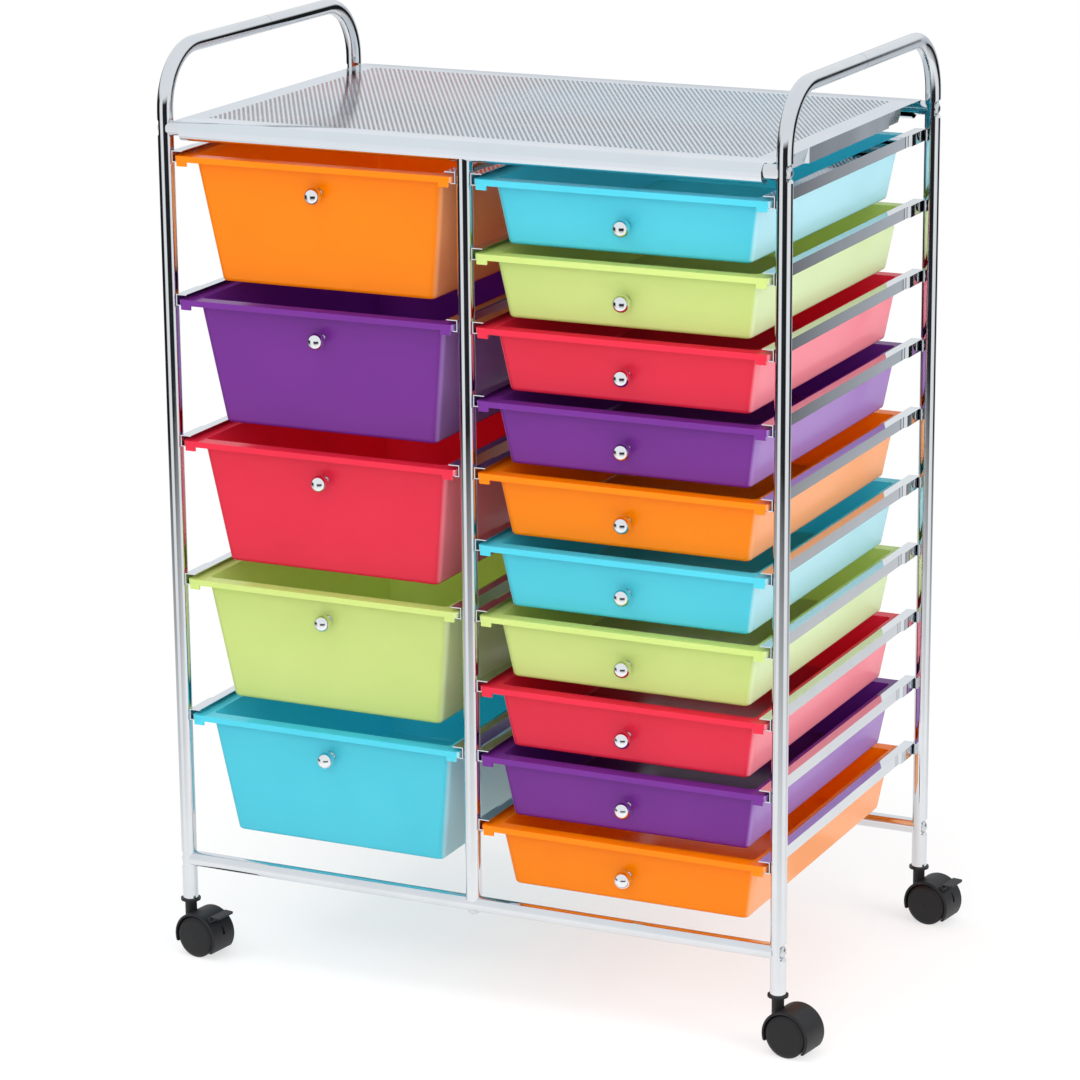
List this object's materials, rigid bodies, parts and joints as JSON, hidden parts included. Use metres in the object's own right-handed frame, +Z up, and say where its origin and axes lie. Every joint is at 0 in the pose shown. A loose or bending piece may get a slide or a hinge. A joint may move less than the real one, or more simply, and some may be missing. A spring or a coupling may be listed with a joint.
{
  "type": "rolling drawer cart",
  "caption": "Rolling cart: chromed tube frame with hand grips, perforated top tray, side-by-side columns of sliding coloured plastic drawers, and swivelling twin-wheel casters with brakes.",
  "frame": {"origin": "bottom middle of the cart's outline on the floor, casters trailing to the right included", "axes": "+X to the right as seen from the front, the drawer fronts face -Y, +Z up"},
  "size_m": [0.6688, 0.411, 0.8875],
  "materials": {
    "chrome": "bright chrome plate",
    "tray_chrome": "chrome plate on perforated sheet",
    "steel": "plain steel pin",
    "caster_black": "black moulded plastic, satin",
    "drawer_orange": "translucent glossy moulded plastic",
    "drawer_purple": "translucent glossy moulded plastic",
    "drawer_red": "translucent glossy moulded plastic",
    "drawer_lime": "translucent glossy moulded plastic",
    "drawer_cyan": "translucent glossy moulded plastic"
  },
  "bodies": {
    "cart_frame": {"side_frame_left": "chrome", "side_frame_right": "chrome", "bottom_bar_front": "chrome", "bottom_bar_rear": "chrome", "top_bar_front": "chrome", "top_bar_rear": "chrome", "mid_post_front": "chrome", "mid_post_rear": "chrome", "frame_bolts": "chrome", "top_tray": "tray_chrome", "rails": "chrome", "caster_sockets": "caster_black"},
    "drawer_left_1": {"drawer_left_1": "drawer_orange", "knob_left_1": "chrome"},
    "drawer_left_2": {"drawer_left_2": "drawer_purple", "knob_left_2": "chrome"},
    "drawer_left_3": {"drawer_left_3": "drawer_red", "knob_left_3": "chrome"},
    "drawer_left_4": {"drawer_left_4": "drawer_lime", "knob_left_4": "chrome"},
    "drawer_left_5": {"drawer_left_5": "drawer_cyan", "knob_left_5": "chrome"},
    "drawer_right_1": {"drawer_right_1": "drawer_cyan", "knob_right_1": "chrome"},
    "drawer_right_2": {"drawer_right_2": "drawer_lime", "knob_right_2": "chrome"},
    "drawer_right_3": {"drawer_right_3": "drawer_red", "knob_right_3": "chrome"},
    "drawer_right_4": {"drawer_right_4": "drawer_purple", "knob_right_4": "chrome"},
    "drawer_right_5": {"drawer_right_5": "drawer_orange", "knob_right_5": "chrome"},
    "drawer_right_6": {"drawer_right_6": "drawer_cyan", "knob_right_6": "chrome"},
    "drawer_right_7": {"drawer_right_7": "drawer_lime", "knob_right_7": "chrome"},
    "drawer_right_8": {"drawer_right_8": "drawer_red", "knob_right_8": "chrome"},
    "drawer_right_9": {"drawer_right_9": "drawer_purple", "knob_right_9": "chrome"},
    "drawer_right_10": {"drawer_right_10": "drawer_orange", "knob_right_10": "chrome"},
    "caster_fl": {"caster_hood_fl": "caster_black", "caster_pins_fl": "steel"},
    "wheel_fl_front": {"wheel_fl_front": "caster_black"},
    "wheel_fl_back": {"wheel_fl_back": "caster_black"},
    "brake_lever_fl": {"brake_lever_fl": "caster_black"},
    "caster_fr": {"caster_hood_fr": "caster_black", "caster_pins_fr": "steel"},
    "wheel_fr_front": {"wheel_fr_front": "caster_black"},
    "wheel_fr_back": {"wheel_fr_back": "caster_black"},
    "caster_rl": {"caster_hood_rl": "caster_black", "caster_pins_rl": "steel"},
    "wheel_rl_front": {"wheel_rl_front": "caster_black"},
    "wheel_rl_back": {"wheel_rl_back": "caster_black"},
    "caster_rr": {"caster_hood_rr": "caster_black", "caster_pins_rr": "steel"},
    "wheel_rr_front": {"wheel_rr_front": "caster_black"},
    "wheel_rr_back": {"wheel_rr_back": "caster_black"},
    "brake_lever_rr": {"brake_lever_rr": "caster_black"}
  },
  "joints": [
    {"name": "drawer_left_1_slide", "type": "slide", "parent": "cart_frame", "child": "drawer_left_1", "axis": [0, -1, 0], "range_m": [0, 0.28]},
    {"name": "drawer_left_2_slide", "type": "slide", "parent": "cart_frame", "child": "drawer_left_2", "axis": [0, -1, 0], "range_m": [0, 0.28]},
    {"name": "drawer_left_3_slide", "type": "slide", "parent": "cart_frame", "child": "drawer_left_3", "axis": [0, -1, 0], "range_m": [0, 0.28]},
    {"name": "drawer_left_4_slide", "type": "slide", "parent": "cart_frame", "child": "drawer_left_4", "axis": [0, -1, 0], "range_m": [0, 0.28]},
    {"name": "drawer_left_5_slide", "type": "slide", "parent": "cart_frame", "child": "drawer_left_5", "axis": [0, -1, 0], "range_m": [0, 0.28]},
    {"name": "drawer_right_1_slide", "type": "slide", "parent": "cart_frame", "child": "drawer_right_1", "axis": [0, -1, 0], "range_m": [0, 0.28]},
    {"name": "drawer_right_2_slide", "type": "slide", "parent": "cart_frame", "child": "drawer_right_2", "axis": [0, -1, 0], "range_m": [0, 0.28]},
    {"name": "drawer_right_3_slide", "type": "slide", "parent": "cart_frame", "child": "drawer_right_3", "axis": [0, -1, 0], "range_m": [0, 0.28]},
    {"name": "drawer_right_4_slide", "type": "slide", "parent": "cart_frame", "child": "drawer_right_4", "axis": [0, -1, 0], "range_m": [0, 0.28]},
    {"name": "drawer_right_5_slide", "type": "slide", "parent": "cart_frame", "child": "drawer_right_5", "axis": [0, -1, 0], "range_m": [0, 0.28]},
    {"name": "drawer_right_6_slide", "type": "slide", "parent": "cart_frame", "child": "drawer_right_6", "axis": [0, -1, 0], "range_m": [0, 0.28]},
    {"name": "drawer_right_7_slide", "type": "slide", "parent": "cart_frame", "child": "drawer_right_7", "axis": [0, -1, 0], "range_m": [0, 0.28]},
    {"name": "drawer_right_8_slide", "type": "slide", "parent": "cart_frame", "child": "drawer_right_8", "axis": [0, -1, 0], "range_m": [0, 0.28]},
    {"name": "drawer_right_9_slide", "type": "slide", "parent": "cart_frame", "child": "drawer_right_9", "axis": [0, -1, 0], "range_m": [0, 0.28]},
    {"name": "drawer_right_10_slide", "type": "slide", "parent": "cart_frame", "child": "drawer_right_10", "axis": [0, -1, 0], "range_m": [0, 0.28]},
    {"name": "caster_fl_swivel", "type": "hinge", "parent": "cart_frame", "child": "caster_fl", "pos_m": [-0.3244, -0.18377, 0.054], "axis": [0, 0, 1], "continuous": true},
    {"name": "wheel_fl_front_roll", "type": "hinge", "parent": "caster_fl", "child": "wheel_fl_front", "pos_m": [-0.31003, -0.1965, 0.0205], "axis": [0.1392, 0.9903, 0], "continuous": true},
    {"name": "wheel_fl_back_roll", "type": "hinge", "parent": "caster_fl", "child": "wheel_fl_back", "pos_m": [-0.30708, -0.1755, 0.0205], "axis": [0.1392, 0.9903, 0], "continuous": true},
    {"name": "brake_lever_fl_press", "type": "hinge", "parent": "caster_fl", "child": "brake_lever_fl", "pos_m": [-0.29245, -0.18826, 0.03988], "axis": [0.1392, 0.9903, 0], "range_deg": [0, 18]},
    {"name": "caster_fr_swivel", "type": "hinge", "parent": "cart_frame", "child": "caster_fr", "pos_m": [0.2906, -0.18377, 0.054], "axis": [0, 0, 1], "continuous": true},
    {"name": "wheel_fr_front_roll", "type": "hinge", "parent": "caster_fr", "child": "wheel_fr_front", "pos_m": [0.30497, -0.1965, 0.0205], "axis": [0.1392, 0.9903, 0], "continuous": true},
    {"name": "wheel_fr_back_roll", "type": "hinge", "parent": "caster_fr", "child": "wheel_fr_back", "pos_m": [0.30792, -0.1755, 0.0205], "axis": [0.1392, 0.9903, 0], "continuous": true},
    {"name": "caster_rl_swivel", "type": "hinge", "parent": "cart_frame", "child": "caster_rl", "pos_m": [-0.3244, 0.18823, 0.054], "axis": [0, 0, 1], "continuous": true},
    {"name": "wheel_rl_front_roll", "type": "hinge", "parent": "caster_rl", "child": "wheel_rl_front", "pos_m": [-0.31003, 0.1755, 0.0205], "axis": [0.1392, 0.9903, 0], "continuous": true},
    {"name": "wheel_rl_back_roll", "type": "hinge", "parent": "caster_rl", "child": "wheel_rl_back", "pos_m": [-0.30708, 0.1965, 0.0205], "axis": [0.1392, 0.9903, 0], "continuous": true},
    {"name": "caster_rr_swivel", "type": "hinge", "parent": "cart_frame", "child": "caster_rr", "pos_m": [0.2906, 0.18823, 0.054], "axis": [0, 0, 1], "continuous": true},
    {"name": "wheel_rr_front_roll", "type": "hinge", "parent": "caster_rr", "child": "wheel_rr_front", "pos_m": [0.30497, 0.1755, 0.0205], "axis": [0.1392, 0.9903, 0], "continuous": true},
    {"name": "wheel_rr_back_roll", "type": "hinge", "parent": "caster_rr", "child": "wheel_rr_back", "pos_m": [0.30792, 0.1965, 0.0205], "axis": [0.1392, 0.9903, 0], "continuous": true},
    {"name": "brake_lever_rr_press", "type": "hinge", "parent": "caster_rr", "child": "brake_lever_rr", "pos_m": [0.32255, 0.18374, 0.03988], "axis": [0.1392, 0.9903, 0], "range_deg": [0, 18]}
  ]
}
